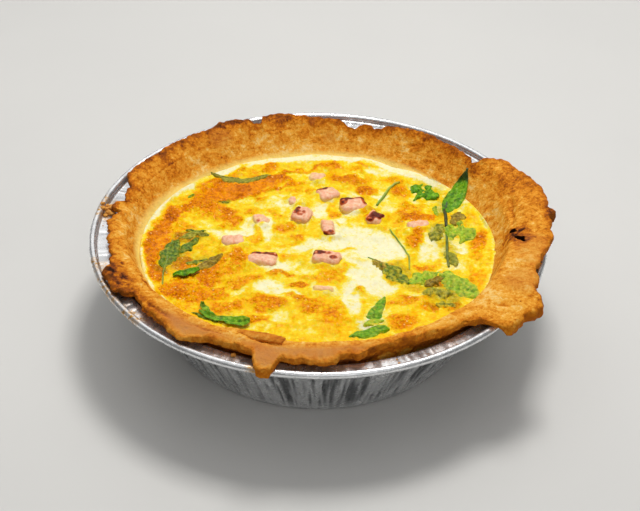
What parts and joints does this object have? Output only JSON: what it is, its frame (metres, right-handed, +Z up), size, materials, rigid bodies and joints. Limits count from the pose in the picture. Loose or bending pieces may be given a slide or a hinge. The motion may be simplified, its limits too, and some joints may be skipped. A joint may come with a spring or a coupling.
{
  "type": "quiche",
  "caption": "Small round quiche with ham dice and spinach leaves in a baked custard, in its fluted foil tin, with a ragged pastry rim that hangs over one side.",
  "frame": {"origin": "centre of the underside of the tin's flat base", "axes": "+Z up, out of the filling; +X towards the side where the pastry hangs far over the rim; -Y towards the front, where one tab of pastry folds over the rim"},
  "size_m": [0.1302, 0.1276, 0.0342],
  "materials": {
    "foil": "satin",
    "pastry": "matte",
    "custard": "satin",
    "ham": "satin",
    "leaf": "satin"
  },
  "bodies": {
    "root": {"foil_tin": "foil", "pastry_case": "pastry", "custard": "custard", "ham_big": "ham", "ham_charred_right": "ham", "ham_middle": "ham", "ham_right": "ham", "ham_back": "ham", "ham_back_middle": "ham", "ham_left": "ham", "ham_centre_left": "ham", "ham_back_left": "ham", "ham_far_left": "ham", "ham_front_left": "ham", "ham_front": "ham", "ham_front_strip": "ham", "leaf_back_left": "leaf", "leaf_left_long": "leaf", "leaf_left_inner": "leaf", "leaf_left_brown": "leaf", "leaf_left_curl": "leaf", "leaf_front_left": "leaf", "leaf_right_back": "leaf", "leaf_right_tall": "leaf", "leaf_right_ruffled": "leaf", "leaf_right_small": "leaf", "leaf_front_right_dark": "leaf", "leaf_front_right_pale": "leaf", "leaf_front_right_long": "leaf", "leaf_front_tall": "leaf", "leaf_front_low": "leaf"}
  },
  "joints": []
}
